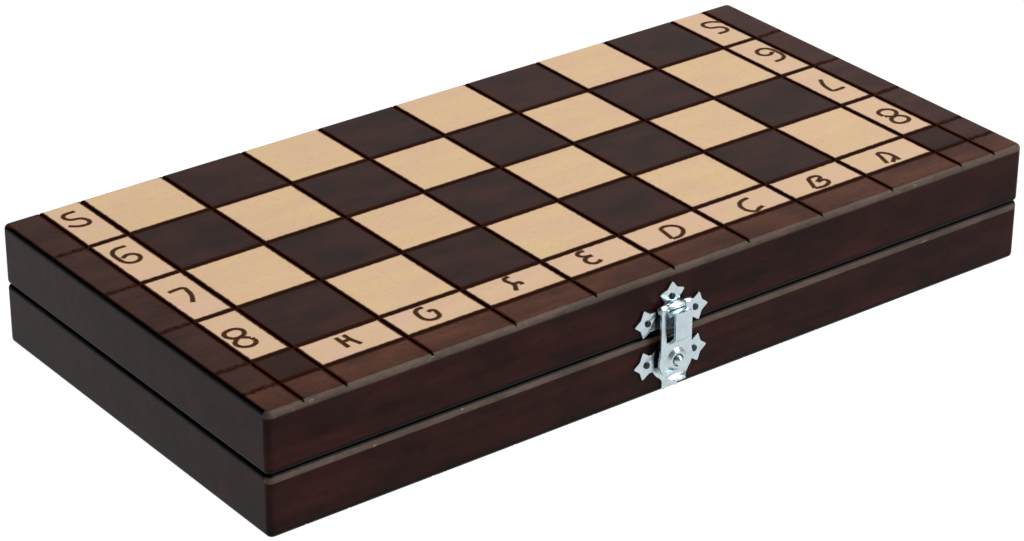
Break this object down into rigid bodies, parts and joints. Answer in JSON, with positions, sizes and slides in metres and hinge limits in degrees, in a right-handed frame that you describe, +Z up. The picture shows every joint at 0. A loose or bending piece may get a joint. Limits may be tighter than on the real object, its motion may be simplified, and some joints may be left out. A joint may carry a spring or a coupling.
{
  "type": "folding chess box",
  "caption": "Flat wooden box of two hinged trays whose outer faces make a chess board, with border coordinates, back hinges and a front swing clasp.",
  "frame": {"origin": "on the table under the middle of the whole outline, clasp and hinge barrels included", "axes": "+X along the box to the viewer's right from the clasp side, clasp on the -Y side, hinges on the +Y side, +Z up"},
  "size_m": [0.3, 0.1586, 0.042],
  "materials": {
    "board_panel": "satin lacquer over light and dark stained fields, with burnt lines",
    "stained_wall": "satin lacquer over near-black brown stain",
    "hinge_steel": "dull zinc-plated steel sheet",
    "hinge_fastener": "dull zinc-plated steel",
    "latch_plate": "bright zinc-plated pressed steel",
    "latch_nail": "dull zinc-plated steel, darker than the plates"
  },
  "bodies": {
    "lower_half": {"lower_board": "board_panel", "lower_front_wall": "stained_wall", "lower_back_wall": "stained_wall", "lower_left_wall": "stained_wall", "lower_right_wall": "stained_wall", "hinge_left_lower_leaf": "hinge_steel", "hinge_right_lower_leaf": "hinge_steel", "hinge_left_pin": "hinge_fastener", "hinge_right_pin": "hinge_fastener", "hinge_lower_screws": "hinge_fastener", "latch_lower_plate": "latch_plate", "latch_knob": "latch_plate", "latch_lower_nails": "latch_nail"},
    "upper_half": {"upper_board": "board_panel", "upper_front_wall": "stained_wall", "upper_back_wall": "stained_wall", "upper_left_wall": "stained_wall", "upper_right_wall": "stained_wall", "hinge_left_upper_leaf": "hinge_steel", "hinge_right_upper_leaf": "hinge_steel", "hinge_upper_screws": "hinge_fastener", "latch_upper_plate": "latch_plate", "latch_pin": "latch_plate", "latch_upper_nails": "latch_nail"},
    "latch_hasp": {"latch_hasp": "latch_plate"}
  },
  "joints": [
    {"name": "lid_hinge", "type": "hinge", "parent": "lower_half", "child": "upper_half", "pos_m": [0, 0.0774, 0.021], "axis": [-1, 0, 0], "range_deg": [0, 180]},
    {"name": "hasp_hinge", "type": "hinge", "parent": "upper_half", "child": "latch_hasp", "pos_m": [-0.0014, -0.07495, 0.03035], "axis": [-1, 0, 0], "range_deg": [0, 100]}
  ]
}
